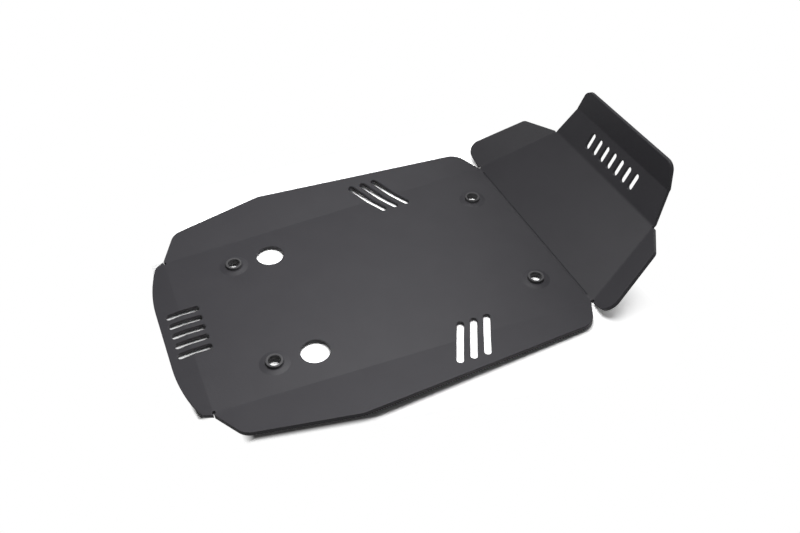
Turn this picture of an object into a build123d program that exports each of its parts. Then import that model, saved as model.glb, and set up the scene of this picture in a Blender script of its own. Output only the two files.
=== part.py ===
from build123d import *
import os
from math import atan2, cos, radians, sin, tan

# Motorcycle skid plate: one folded aluminium sheet with four mounting bushes.
#
# The origin is the middle of the bolt pattern, in the plane of the bush rims where the plate meets the
# engine. +X points to the front of the motorcycle, +Y to its left and +Z up. Lengths are in millimetres
# and angles in degrees. Panels are measured between sharp fold lines, where the inner faces would cross.

# Sheet
sheet = 3.0
bend_radius = 4.0
relief_radius = 1.2
crease_radius = 0.6
crease_inset = 7.0
corner_reach = 2.2

# Bolt pattern and bushes
bolt_spacing_x = 220.0
bolt_spacing_y = 111.0
bush_bore = 9.4
bush_outer = 13.0
bush_stand = 3.5
bush_rim_chamfer = 0.3
dimple_rise = 1.0
dimple_land = 1.2
dimple_slope = 3.8

# Floor, from the middle of the bolt pattern
floor_rear = 162.0
floor_front = 138.4
floor_rear_half = 80.9
floor_front_half = 94.3

# Access holes ahead of the rear bushes
access_diameter = 22.4
access_x = -79.1
access_y = 56.4

# Side wings: corners along the fold from its nearer end, and their width square to the fold
wing_angle = 9.2
wing_rear_inset = 15.8
wing_rear_width = 27.6
wing_rear_radius = 13.5
wing_widest_inset = 95.6
wing_widest_width = 42.1
wing_widest_radius = 16.0
wing_front_inset = 13.2
wing_front_width = 24.0
wing_front_radius = 16.0

# Rear lip, turned down: straight in the middle, with a long round shoulder on each side
lip_angle = 7.4
lip_length = 17.8
lip_straight_half = 29.7
lip_shoulder_half = 77.2
lip_shoulder_length = 8.4
lip_corner_half = 80.3
lip_corner_length = 5.4

# Front panel and its side wings
front_angle = 30.3
front_length = 75.2
front_top_half = 73.0
front_wing_angle = 27.1
front_wing_rear_overhang = 5.2
front_wing_rear_width = 24.8
front_wing_rear_radius = 10.5
front_wing_front_inset = 23.0
front_wing_front_width = 22.5
front_wing_front_radius = 6.0

# Steep upper panel and top lip, with their angles from the floor
steep_angle = 65.3
steep_length = 29.4
steep_top_half = 64.2
top_lip_angle = 83.7
top_lip_length = 21.2
top_lip_half = 58.2
top_lip_radius = 9.0

# Slots, all of one width
slot_width = 5.6
rear_slot_count = 5
rear_slot_pitch = 10.4
rear_slot_length = 26.3
rear_slot_forward = 1.6
side_slot_count = 3
side_slot_pitch = 11.2
side_slot_length = 43.6
side_slot_slant = 27.4
side_slot_centre_x = 34.1
side_slot_outset = 3.0
vent_slot_count = 7
vent_slot_pitch = 10.4
vent_slot_length = 15.0

floor_top = -bush_stand
taper = atan2(floor_front_half - floor_rear_half, floor_front + floor_rear)


def setback(angle, radius=bend_radius):
    """Distance from a sharp fold line to the edge of the flat beside it."""
    return radius * tan(radians(angle) / 2)


def side_fold_y(x):
    """Half width of the floor at the sharp fold line of a side wing."""
    return floor_rear_half + (x + floor_rear) * tan(taper)


def fold(panel, first, last, angle):
    """Bend the sheet along the edge from first to last, with the panel on the left of the walk.

    A positive angle lifts the next panel to the side of the inner face. The plane that comes back has
    its origin at the middle of the edge, x back along the edge and y outwards over the next panel.
    """
    start = panel.from_local_coords(Vector(*first))
    end = panel.from_local_coords(Vector(*last))
    normal = panel.z_dir
    along = (end - start).normalized()
    outward = along.cross(normal)
    turn = radians(angle)
    next_normal = normal * cos(turn) - outward * sin(turn)
    # The bend's axis lies above the inner face of a lifted panel and below the outer face of a lowered one
    to_axis = bend_radius if angle > 0 else -(bend_radius + sheet)
    axis_point = (start + end) / 2 + normal * to_axis
    edge_face = make_face(Polyline(start, end, end - normal * sheet, start - normal * sheet, close=True))
    bend = revolve(edge_face, Axis(axis_point, -along), angle)
    return bend, Plane(axis_point - next_normal * to_axis, x_dir=-along, z_dir=next_normal)


def flat(panel, outline):
    """A flat stretch of the sheet under an outline on the inner face."""
    return extrude(panel * make_face(outline), amount=sheet, dir=-panel.z_dir)


def both_sides(shape):
    """A shape on the left of the plate and its mirror image on the right."""
    return [shape, mirror(shape, about=Plane.XZ)]


def rounded_tab(first, corners, last, radii, base=()):
    """Outline of a panel with rounded free corners, closed from last to first along its base."""
    return FilletPolyline(first, *corners, last, radius=radii) + Polyline(last, *base, first)


# Floor
floor_plane = Plane.XY.offset(floor_top)
lip_setback = setback(lip_angle, bend_radius + sheet)
wing_setback = setback(wing_angle)
rear_x = -floor_rear + lip_setback
front_x = floor_front - setback(front_angle)
rear_y = side_fold_y(rear_x) - wing_setback / cos(taper)
front_y = side_fold_y(front_x) - wing_setback / cos(taper)
rear_left = (rear_x, rear_y)
rear_right = (rear_x, -rear_y)
front_left = (front_x, front_y)
front_right = (front_x, -front_y)
pieces = [flat(floor_plane, Polyline(rear_right, front_right, front_left, rear_left, close=True))]

# Side wings
wing_bend, wing_plane = fold(floor_plane, front_left, rear_left, wing_angle)
wing_half = Vector(front_x - rear_x, front_y - rear_y).length / 2
wing_rear_end = -wing_half - lip_setback / cos(taper)
wing_front_end = wing_half + setback(front_angle) / cos(taper)
wing_corners = [
    (wing_rear_end + wing_rear_inset, wing_rear_width - wing_setback),
    (wing_rear_end + wing_widest_inset, wing_widest_width - wing_setback),
    (wing_front_end - wing_front_inset, wing_front_width - wing_setback),
]
wing_radii = [wing_rear_radius, wing_widest_radius, wing_front_radius]
wing_start = (-wing_half, corner_reach)
wing_outline = rounded_tab(wing_start, wing_corners, (wing_half, 0), wing_radii, base=[(-wing_half, 0)])
wing = flat(wing_plane, wing_outline)
pieces += both_sides(wing_bend) + both_sides(wing)

# Rear lip
lip_bend, lip_plane = fold(floor_plane, rear_left, rear_right, -lip_angle)
lip_end = lip_length - lip_setback
lip_shoulder_start = (lip_straight_half, lip_end)
lip_shoulder_end = (lip_shoulder_half, lip_shoulder_length - lip_setback)
lip_shoulder = TangentArc(lip_shoulder_start, lip_shoulder_end, tangent=(1, 0))
lip_corner = (lip_corner_half, lip_corner_length - lip_setback)
lip_foot = (rear_y + corner_reach, 0)
lip_side = (
    lip_shoulder
    + TangentArc(lip_shoulder_end, lip_corner, tangent=lip_shoulder % 1)
    + Line(lip_corner, lip_foot)
)
lip_outline = (
    Line((-lip_straight_half, lip_end), lip_shoulder_start)
    + lip_side
    + mirror(lip_side, about=Plane.YZ)
    + Line((-rear_y - corner_reach, 0), lip_foot)
)
pieces += [lip_bend, flat(lip_plane, lip_outline)]

# Front panel
front_bend, front_plane = fold(floor_plane, front_right, front_left, front_angle)
steep_turn = steep_angle - front_angle
front_end = front_length - setback(front_angle) - setback(steep_turn)
front_top_y = front_top_half - setback(front_wing_angle)
front_outline = Polyline(
    (-front_y, 0), (front_y, 0), (front_top_y, front_end), (-front_top_y, front_end), close=True
)
pieces += [front_bend, flat(front_plane, front_outline)]

# Front wings, on the panel's negative x, which is the left of the plate
front_wing_setback = setback(front_wing_angle)
front_wing_bend, front_wing_plane = fold(
    front_plane, (-front_top_y, front_end), (-front_y, 0), front_wing_angle
)
front_wing_half = Vector(front_y - front_top_y, front_end).length / 2
front_wing_rear_end = -front_wing_half - setback(front_angle)
front_wing_front_end = front_wing_half + setback(steep_turn)
front_wing_corners = [
    (front_wing_rear_end - front_wing_rear_overhang, front_wing_rear_width - front_wing_setback),
    (front_wing_front_end - front_wing_front_inset, front_wing_front_width - front_wing_setback),
]
front_wing_outline = rounded_tab(
    (-front_wing_half - corner_reach, 0),
    front_wing_corners,
    (front_wing_half, 0),
    [front_wing_rear_radius, front_wing_front_radius],
)
pieces += both_sides(front_wing_bend) + both_sides(flat(front_wing_plane, front_wing_outline))

# Steep upper panel
steep_bend, steep_plane = fold(front_plane, (front_top_y, front_end), (-front_top_y, front_end), steep_turn)
top_lip_turn = top_lip_angle - steep_angle
steep_end = steep_length - setback(steep_turn) - setback(top_lip_turn)
steep_top_left = (-steep_top_half, steep_end)
steep_top_right = (steep_top_half, steep_end)
steep_outline = Polyline(
    (-front_top_y, 0), (front_top_y, 0), steep_top_right, steep_top_left, close=True
)
pieces += [steep_bend, flat(steep_plane, steep_outline)]

# Top lip
top_lip_bend, top_lip_plane = fold(steep_plane, steep_top_right, steep_top_left, top_lip_turn)
top_lip_end = top_lip_length - setback(top_lip_turn)
top_lip_outline = rounded_tab(
    (-steep_top_half, 0),
    [(-top_lip_half, top_lip_end), (top_lip_half, top_lip_end)],
    (steep_top_half, 0),
    [top_lip_radius, top_lip_radius],
)
pieces += [top_lip_bend, flat(top_lip_plane, top_lip_outline)]

plate = pieces[0].fuse(*pieces[1:]).clean()

# Crease that the press leaves along the inside of the front fold, short of the corners
front_half_turn = radians(front_angle) / 2
crease_x = front_x + bend_radius * sin(front_half_turn)
crease_z = floor_top + bend_radius * (1 - cos(front_half_turn))
crease = Cylinder(crease_radius, 2 * (front_y - crease_inset), rotation=(90, 0, 0))
plate = plate - Pos(crease_x, 0, crease_z) * crease

# Dimples pressed up round the bolt holes, so that the bolt heads sit inside the underside
bolts = {
    "rear_right": Pos(-bolt_spacing_x / 2, -bolt_spacing_y / 2),
    "rear_left": Pos(-bolt_spacing_x / 2, bolt_spacing_y / 2),
    "front_right": Pos(bolt_spacing_x / 2, -bolt_spacing_y / 2),
    "front_left": Pos(bolt_spacing_x / 2, bolt_spacing_y / 2),
}
bush_radius = bush_outer / 2
land_radius = bush_radius + dimple_land
dimple_radius = land_radius + dimple_slope
dimple_top = floor_top + dimple_rise
dimple_section = Polyline(
    (dimple_radius, floor_top),
    (land_radius, dimple_top),
    (bush_radius, dimple_top),
    (bush_radius, dimple_top - sheet),
    (land_radius, dimple_top - sheet),
    (dimple_radius, floor_top - sheet),
    close=True,
)
dimple = revolve(Plane.XZ * make_face(dimple_section), Axis.Z)
dimple_seat = Pos(0, 0, floor_top) * Cylinder(dimple_radius, 2 * sheet)
plate = plate - [place * dimple_seat for place in bolts.values()]
plate = plate.fuse(*[place * dimple for place in bolts.values()])

# Slots, access holes and bend reliefs, cut square through the floor and the folds beside it
side_slot_climb = side_slot_length * sin(radians(wing_angle))
rear_slot_drop = rear_slot_length * sin(radians(lip_angle))
cut_reach = 2 * sheet + max(side_slot_climb, rear_slot_drop)


def floor_cut(sketch):
    """A cutter square to the floor that reaches through the sheet on both sides of a fold."""
    return extrude(Pos(0, 0, floor_top) * sketch, amount=cut_reach, both=True)


def row_offsets(count, pitch):
    """Distances of evenly spaced copies from the middle of their row."""
    return [(i - (count - 1) / 2) * pitch for i in range(count)]


rear_slot = SlotOverall(rear_slot_length, slot_width)
rear_slots = [
    Pos(-floor_rear + rear_slot_forward, offset) * rear_slot
    for offset in row_offsets(rear_slot_count, rear_slot_pitch)
]
side_slot = SlotOverall(side_slot_length, slot_width, rotation=90 + side_slot_slant)
side_slot_y = side_fold_y(side_slot_centre_x) + side_slot_outset
side_slots = []
for offset in row_offsets(side_slot_count, side_slot_pitch):
    place = Pos(side_slot_centre_x + offset * cos(taper), side_slot_y + offset * sin(taper))
    side_slots += both_sides(place * side_slot)
access_holes = both_sides(Pos(access_x, access_y) * Circle(access_diameter / 2))
reliefs = [Pos(*corner) * Circle(relief_radius) for corner in (rear_left, rear_right)]
plate = plate - [floor_cut(sketch) for sketch in rear_slots + side_slots + access_holes + reliefs]

# Vent slots, cut square through the steep panel
vent_slot = SlotOverall(vent_slot_length, slot_width, rotation=90)
for offset in row_offsets(vent_slot_count, vent_slot_pitch):
    vent = steep_plane * Pos(offset, steep_end / 2) * vent_slot
    plate = plate - extrude(vent, amount=2 * sheet, both=True)

# Bushes, from the underside of the dimple up to the plane of the rims
bush_length = sheet - dimple_top
bush = Pos(0, 0, -bush_length / 2) * (
    Cylinder(bush_radius, bush_length) - Cylinder(bush_bore / 2, bush_length)
)
bush = chamfer(bush.edges().group_by(Axis.Z)[-1], bush_rim_chamfer)

os.makedirs("parts", exist_ok=True)
export_step(plate, "parts/skid_plate.step")
for corner, place in bolts.items():
    export_step(place * bush, f"parts/bush_{corner}.step")
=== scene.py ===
"""A matt black folded skid plate with four mounting bushes, on a pale studio floor."""
import logging
from dataclasses import dataclass, field
from enum import Enum
from math import radians

import bpy
import numpy as np
from mathutils import Euler, Matrix, Vector

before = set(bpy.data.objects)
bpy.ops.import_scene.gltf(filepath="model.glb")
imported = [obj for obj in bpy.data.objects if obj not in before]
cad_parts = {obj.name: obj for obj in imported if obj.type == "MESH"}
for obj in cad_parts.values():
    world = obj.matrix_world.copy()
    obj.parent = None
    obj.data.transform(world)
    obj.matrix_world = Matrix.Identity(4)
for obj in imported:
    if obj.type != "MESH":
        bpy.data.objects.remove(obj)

log = logging.getLogger("skid_plate")

Colour = tuple[float, float, float, float]
Point = tuple[float, float, float]
Span = tuple[float, float]
ZERO: Point = (0.0, 0.0, 0.0)


class Node(Enum):
    """The solids of the plate, by the names that the frame gives them."""

    PLATE = "skid_plate"
    BUSH_REAR_RIGHT = "bush_rear_right"
    BUSH_REAR_LEFT = "bush_rear_left"
    BUSH_FRONT_RIGHT = "bush_front_right"
    BUSH_FRONT_LEFT = "bush_front_left"


class NodeTree:
    """A short way to add and wire shader nodes."""

    def __init__(self, tree: bpy.types.ShaderNodeTree) -> None:
        """Start from an empty tree."""
        self.tree = tree
        tree.nodes.clear()

    def add(self, kind: str, inputs: dict[str, object] | None = None, **settings: object) -> bpy.types.Node:
        """Add a node, set its properties and fill its sockets.

        Args:
            kind: The node's type without the ShaderNode prefix.
            inputs: Values or output sockets by the name of the input socket.
            **settings: Properties of the node itself.

        Returns:
            The new node.
        """
        node = self.tree.nodes.new("ShaderNode" + kind)
        for name, value in settings.items():
            setattr(node, name, value)
        for name, value in (inputs or {}).items():
            self.fill(node.inputs[name], value)
        return node

    def fill(self, socket: bpy.types.NodeSocket, value: object) -> None:
        """Link a socket to an output, or set its plain value.

        Args:
            socket: The input socket to fill.
            value: An output socket, or a plain value.
        """
        if isinstance(value, bpy.types.NodeSocket):
            self.tree.links.new(value, socket)
        else:
            socket.default_value = value

    def pair(self, kind: str, operation: str, first: object, second: object) -> bpy.types.Node:
        """Add a node that works on two terms.

        Args:
            kind: The node's type, Math or VectorMath.
            operation: The node's operation.
            first: First term, a socket or a plain value.
            second: Second term, a socket or a plain value.

        Returns:
            The new node.
        """
        node = self.add(kind, operation=operation)
        self.fill(node.inputs[0], first)
        self.fill(node.inputs[1], second)
        return node

    def math(self, operation: str, first: object, second: object) -> bpy.types.NodeSocket:
        """Give the result of one step of arithmetic on two numbers."""
        return self.pair("Math", operation, first, second).outputs["Value"]

    def vector(self, operation: str, first: object, second: object = ZERO) -> bpy.types.NodeSocket:
        """Give the result of one step of arithmetic on two vectors."""
        return self.pair("VectorMath", operation, first, second).outputs["Vector"]

    def measure(self, operation: str, first: object, second: object = ZERO) -> bpy.types.NodeSocket:
        """Give the number that a vector operation works out, such as a length."""
        return self.pair("VectorMath", operation, first, second).outputs["Value"]

    def fade(self, value: bpy.types.NodeSocket, ends: Span) -> bpy.types.NodeSocket:
        """Give a share that runs from 0 to 1 as a value passes from the first end to the second."""
        made = self.add("MapRange", {"Value": value, "From Min": ends[0], "From Max": ends[1]})
        return made.outputs["Result"]

    def mix(self, share: bpy.types.NodeSocket, first: object, second: object) -> bpy.types.NodeSocket:
        """Blend two shaders.

        Args:
            share: How much of the second shader shows, from 0 to 1.
            first: Output socket of the first shader.
            second: Output socket of the second shader.

        Returns:
            The socket that holds the blend.
        """
        made = self.add("MixShader", {"Fac": share})
        self.fill(made.inputs[1], first)
        self.fill(made.inputs[2], second)
        return made.outputs["Shader"]


@dataclass(frozen=True)
class Noise:
    """A noise in the piece's own coordinates, so it keeps its size on every piece."""

    per_metre: float
    octaves: float

    def add(self, nodes: NodeTree, place: bpy.types.NodeSocket) -> bpy.types.NodeSocket:
        """Add the noise to a tree and give its value, about a half on average."""
        inputs = {"Vector": place, "Scale": self.per_metre, "Detail": self.octaves}
        return nodes.add("TexNoise", inputs).outputs["Fac"]


@dataclass(frozen=True)
class PowderCoat:
    """A matt powder coat: dark, faintly mottled, with the fine orange peel of baked powder.

    Attributes:
        name: The material's name.
        dark: Colour of the darker mottles.
        light: Colour of the lighter mottles.
        tones: Values of the mottle at which the two colours stand.
        roughness: Roughness in the hollows and on the tops of the grain.
        gloss: Specular level of the coat.
        mottle: Slow change of colour.
        peel: Soft waves of the baked surface.
        peel_depth: Height of those waves in metres.
        grain: Fine grain of the powder.
        grain_depth: Height of the grain in metres.
        edge_radius: Radius in metres to which the coat rounds a cut edge.
        edge_samples: Rays that find those edges.
    """

    name: str
    dark: Colour
    light: Colour
    tones: Span = (0.3, 0.7)
    roughness: Span = (0.46, 0.56)
    gloss: float = 0.3
    mottle: Noise = Noise(per_metre=38.0, octaves=4.0)
    peel: Noise = Noise(per_metre=420.0, octaves=1.0)
    peel_depth: float = 0.00005
    grain: Noise = Noise(per_metre=1500.0, octaves=2.0)
    grain_depth: float = 0.00004
    edge_radius: float = 0.001
    edge_samples: int = 6

    def material(self) -> bpy.types.Material:
        """Build the coat as a procedural material.

        Returns:
            The material, with its colour, roughness and relief all from noise.
        """
        made = bpy.data.materials.new(self.name)
        made.use_nodes = True
        nodes = NodeTree(made.node_tree)
        place = nodes.add("TexCoord").outputs["Object"]
        grain = self.grain.add(nodes, place)
        peel = self.peel.add(nodes, place)
        colour = nodes.add("ValToRGB", {"Fac": self.mottle.add(nodes, place)})
        for end, tone, shade in zip(colour.color_ramp.elements, self.tones, (self.dark, self.light)):
            end.position, end.color = tone, shade
        low, high = self.roughness
        roughness = nodes.add("MapRange", {"Value": grain, "To Min": low, "To Max": high})
        edge = nodes.add("Bevel", {"Radius": self.edge_radius}, samples=self.edge_samples)
        normal = edge.outputs["Normal"]
        for height, depth in ((peel, self.peel_depth), (grain, self.grain_depth)):
            bump = nodes.add("Bump", {"Height": height, "Distance": depth, "Normal": normal})
            normal = bump.outputs["Normal"]
        shader = nodes.add(
            "BsdfPrincipled",
            {
                "Base Color": colour.outputs["Color"],
                "Roughness": roughness.outputs["Result"],
                "Normal": normal,
                "Specular IOR Level": self.gloss,
            },
        )
        nodes.add("OutputMaterial", {"Surface": shader.outputs["BSDF"]})
        return made


@dataclass
class CoatedSolid:
    """One solid of the plate as the frame holds it, dressed with its coat."""

    node: Node
    coat: bpy.types.Material

    @property
    def shape(self) -> bpy.types.Object:
        """The frame's own object for this solid."""
        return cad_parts[self.node.value]

    def dress(self) -> bpy.types.Object:
        """Give the solid its coat.

        Returns:
            The dressed object.
        """
        self.shape.data.materials.clear()
        self.shape.data.materials.append(self.coat)
        return self.shape


@dataclass
class StudioFloor:
    """A wide floor that meets the plate where it rests and curves up into a backdrop far out.

    The plate rests on the lower edge of its rear lip and on the underside of its front fold, so the floor
    runs through those two heights. Light that bounces off the floor meets a grey paint. The camera and
    reflections see it white, apart from the ground round the plate, which keeps the shadow. Behind the
    wings, beside the rear part of the right wing and at the outer edge of that box, the shadow is painted
    out in white; under the rear lip the ground is drawn darker, a painted shade.

    Attributes:
        rear_rest: The rear rest, as x and z.
        front_rest: The front rest, as x and z.
        gap: How far the floor stays below the rests.
        half_size: Half of the floor's length and width.
        flat_radius: How far out the floor begins to curve up.
        rise: How fast it curves up.
        cells: Faces along each side.
        paint: Colour that bounced light meets.
        lift: How much brighter the shadowed ground is drawn for the camera.
        mirrored: Strength of the white in reflections, where 1 is white.
        lip_shade_centre: Middle of the box under the rear lip and its slots, where the real shadow is drawn
            without the lift and never white, a painted shade.
        lip_shade_half: Half of that box's size.
        lip_shade_fade: Distances from that box over which the painted shade ends.
        shadow_centre: Middle of the box round the plate that keeps the shadow.
        shadow_half: Half of that box's size.
        shadow_fade: Distances from that box over which the ground turns white, the outer part of the shadow
            painted out.
        rear_fade: Values of x over which the ground behind the wings is painted white over its shadow.
        side_lean: Direction square to the rear part of the right wing's edge, along the ground.
        side_fade: Distances along that direction over which the ground is painted white over its shadow.
    """

    rear_rest: Span = (-0.1790, -0.00885)
    front_rest: Span = (0.1384, -0.0065)
    gap: float = 0.0001
    half_size: float = 4.0
    flat_radius: float = 2.0
    rise: float = 0.5
    cells: int = 48
    paint: Colour = (0.25, 0.25, 0.25, 1.0)
    lift: float = 0.9
    mirrored: float = 0.5
    lip_shade_centre: Point = (-0.1555, 0.0055, 0.0)
    lip_shade_half: Point = (0.0165, 0.0830, 1.0)
    lip_shade_fade: Span = (0.0, 0.003)
    shadow_centre: Point = (-0.03, 0.0, 0.0)
    shadow_half: Point = (0.17, 0.13, 1.0)
    shadow_fade: Span = (0.0, 0.045)
    rear_fade: Span = (-0.1410, -0.1490)
    side_lean: Point = (-0.206, -1.0, 0.0)
    side_fade: Span = (0.137, 0.1415)

    def grid(self) -> tuple[np.ndarray, np.ndarray]:
        """Work out the points and faces of the floor.

        Formula: with u and v from -1 to 1, x and y are u and v times the half size. The height z is that
        of the line through the two rests at that x, less a small gap, plus the rise times the square of
        how far the point lies beyond the flat radius.

        Returns:
            The points as rows of x, y and z, and the faces as rows of four indices.
        """
        steps, row = np.linspace(-1, 1, self.cells + 1), self.cells + 1
        u, v = np.meshgrid(steps, steps)
        x, y = u.ravel() * self.half_size, v.ravel() * self.half_size
        (x0, z0), (x1, z1) = self.rear_rest, self.front_rest
        z = z0 + (x - x0) * (z1 - z0) / (x1 - x0) - self.gap
        z += self.rise * np.clip(np.hypot(x, y) - self.flat_radius, 0, None) ** 2
        corner = (np.arange(self.cells)[:, None] * row + np.arange(self.cells)).ravel()
        faces = np.stack([corner, corner + 1, corner + row + 1, corner + row], axis=1)
        return np.stack([x, y, z], axis=1), faces

    @staticmethod
    def outside(
        nodes: NodeTree, place: bpy.types.NodeSocket, centre: Point, half: Point
    ) -> bpy.types.NodeSocket:
        """Work out how far a place lies outside an upright box.

        Args:
            nodes: The tree to add to.
            place: Coordinates in metres.
            centre: Middle of the box.
            half: Half of the box's size along each axis.

        Returns:
            The distance to the box, zero inside it.
        """
        offset = nodes.vector("ABSOLUTE", nodes.vector("SUBTRACT", place, centre))
        beyond = nodes.vector("MAXIMUM", nodes.vector("SUBTRACT", offset, half))
        return nodes.measure("LENGTH", beyond)

    def painted_white(self, nodes: NodeTree, place: bpy.types.NodeSocket) -> bpy.types.NodeSocket:
        """Find the ground that is drawn white with its shadow painted out: past the box round the plate,
        behind the plate and beside its right wing.

        Args:
            nodes: The tree to add to.
            place: Coordinates in metres.

        Returns:
            A share, 1 where the ground is painted white and 0 where it keeps the shadow.
        """
        # The rear and side fades paint the ground white over the shadow that falls behind and beside the
        # wings.
        away = self.outside(nodes, place, self.shadow_centre, self.shadow_half)
        along = nodes.add("SeparateXYZ", {"Vector": place}).outputs["X"]
        beside = nodes.measure("DOT_PRODUCT", place, self.side_lean)
        far, rear = nodes.fade(away, self.shadow_fade), nodes.fade(along, self.rear_fade)
        return nodes.math("MAXIMUM", nodes.math("MAXIMUM", far, rear), nodes.fade(beside, self.side_fade))

    def material(self) -> bpy.types.Material:
        """Build the floor's paint: white to the eye, with the plate's shadow kept round the plate, painted
        out in white behind and beside it, and a painted shade under the rear lip.

        Returns:
            The material.
        """
        made = bpy.data.materials.new("studio_floor")
        made.use_nodes = True
        nodes = NodeTree(made.node_tree)
        place = nodes.add("TexCoord").outputs["Object"]
        rays = nodes.add("LightPath").outputs
        camera = rays["Is Camera Ray"]
        seen = nodes.math("MAXIMUM", camera, rays["Is Glossy Ray"])
        seen = nodes.math("MAXIMUM", seen, rays["Is Transmission Ray"])
        # Painted shade: inside the box under the rear lip the ground gets no lift and no white, so it is
        # drawn darker than around it.
        clear = nodes.fade(self.outside(nodes, place, self.lip_shade_centre, self.lip_shade_half), self.lip_shade_fade)
        gain = nodes.math("MULTIPLY", nodes.math("MULTIPLY", camera, clear), self.lift)
        paint = nodes.add("BsdfDiffuse", {"Color": self.paint})
        shaded = nodes.add("BsdfDiffuse", {"Color": nodes.math("ADD", gain, 1.0)})
        white = nodes.add("Emission", {"Strength": nodes.math("MAXIMUM", camera, self.mirrored)})
        ground = nodes.mix(seen, paint.outputs["BSDF"], shaded.outputs["BSDF"])
        # Where this share is 1 the ground is painted white over whatever shadow falls there.
        painted_white = nodes.math("MULTIPLY", self.painted_white(nodes, place), clear)
        floor = nodes.mix(nodes.math("MULTIPLY", painted_white, seen), ground, white.outputs["Emission"])
        nodes.add("OutputMaterial", {"Surface": floor})
        return made

    def build(self) -> bpy.types.Object:
        """Make the floor.

        Returns:
            The floor's object.
        """
        points, faces = self.grid()
        mesh = bpy.data.meshes.new("studio_floor")
        mesh.from_pydata(points.tolist(), [], faces.tolist())
        mesh.materials.append(self.material())
        made = bpy.data.objects.new("studio_floor", mesh)
        bpy.context.scene.collection.objects.link(made)
        return made


@dataclass
class Softbox:
    """A square area lamp that looks at a point.

    Attributes:
        name: The lamp's name.
        direction: Where the lamp hangs, as seen from its target.
        distance: How far it hangs from the target.
        side: Side of the square.
        watts: Power of the lamp.
        target: The point that it looks at.
    """

    name: str
    direction: Point
    distance: float
    side: float
    watts: float
    target: Point = ZERO

    def build(self) -> bpy.types.Object:
        """Hang the lamp and turn it to its target.

        Returns:
            The lamp's object.
        """
        data = bpy.data.lights.new(self.name, "AREA")
        data.shape = "SQUARE"
        data.size = self.side
        data.energy = self.watts
        made = bpy.data.objects.new(self.name, data)
        toward = Vector(self.direction).normalized()
        made.location = Vector(self.target) + toward * self.distance
        made.rotation_euler = toward.to_track_quat("Z", "Y").to_euler()
        bpy.context.scene.collection.objects.link(made)
        return made


@dataclass
class Studio:
    """A wide softbox overhead, small ones behind and in front, and a dim room round them."""

    ambient: float = 0.1
    tint: Colour = (1.0, 1.0, 1.0, 1.0)
    boxes: list[Softbox] = field(
        default_factory=lambda: [
            Softbox("top_softbox", (0.6332, 0.0897, 0.7687), 0.608, 0.40, 3.1, (-0.409, -0.0885, 0.0326)),
            Softbox("back_softbox", (0.348, 0.537, 0.768), 1.156, 0.20, 1.39),
            Softbox("front_softbox", (0.87, 0.15, 0.47), 0.9, 0.25, 1.16, (0.1, 0.0, 0.0)),
        ]
    )

    def build(self) -> list[bpy.types.Object]:
        """Hang the lamps and light the room.

        Returns:
            The lamps' objects.
        """
        world = bpy.data.worlds.new("studio_room")
        world.use_nodes = True
        bpy.context.scene.world = world
        nodes = NodeTree(world.node_tree)
        sky = nodes.add("Background", {"Color": self.tint, "Strength": self.ambient})
        nodes.add("OutputWorld", {"Surface": sky.outputs["Background"]})
        return [box.build() for box in self.boxes]


@dataclass
class PhotoCamera:
    """The camera at the photograph's point of view.

    Azimuth turns from +Y towards +X, dip is below the horizon and roll turns the frame about the view.
    """

    position: Point = (-0.17900, -0.42658, 0.44846)
    azimuth: float = 24.376
    dip: float = 43.892
    roll: float = 0.763
    lens: float = 35.67
    sensor: float = 36.0

    def build(self) -> bpy.types.Object:
        """Set up the camera and make it the scene's own.

        Returns:
            The camera's object.
        """
        data = bpy.data.cameras.new("photo_camera")
        data.sensor_width = self.sensor
        data.lens = self.lens
        made = bpy.data.objects.new("photo_camera", data)
        aim = Euler((radians(90 - self.dip), 0, -radians(self.azimuth))).to_matrix().to_4x4()
        made.matrix_world = (
            Matrix.Translation(self.position) @ aim @ Matrix.Rotation(radians(self.roll), 4, "Z")
        )
        bpy.context.scene.collection.objects.link(made)
        bpy.context.scene.camera = made
        return made


SHEET_COAT = PowderCoat("sheet_coat", (0.048, 0.0465, 0.0525, 1.0), (0.052, 0.0505, 0.0565, 1.0))
# The bushes' coat is the sheet's coat made lighter, a painted highlight for their rims, which catch the
# light.
BUSH_LIGHTENED_COAT = PowderCoat("bush_lightened_coat", (0.085, 0.084, 0.088, 1.0), (0.095, 0.094, 0.098, 1.0))


def main() -> None:
    """Dress the plate and its bushes, then set up the studio round them."""
    logging.basicConfig(level=logging.INFO, format="%(name)s: %(message)s")
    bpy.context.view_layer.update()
    sheet_coat, bush_lightened_coat = SHEET_COAT.material(), BUSH_LIGHTENED_COAT.material()
    for node in Node:
        coat = sheet_coat if node is Node.PLATE else bush_lightened_coat
        log.info("dressed %s", CoatedSolid(node, coat).dress().name)
    log.info("laid %s", StudioFloor().build().name)
    for lamp in Studio().build():
        log.info("hung %s", lamp.name)
    log.info("set %s", PhotoCamera().build().name)
    bpy.context.scene.view_settings.view_transform = "Standard"


if __name__ == "__main__":
    main()
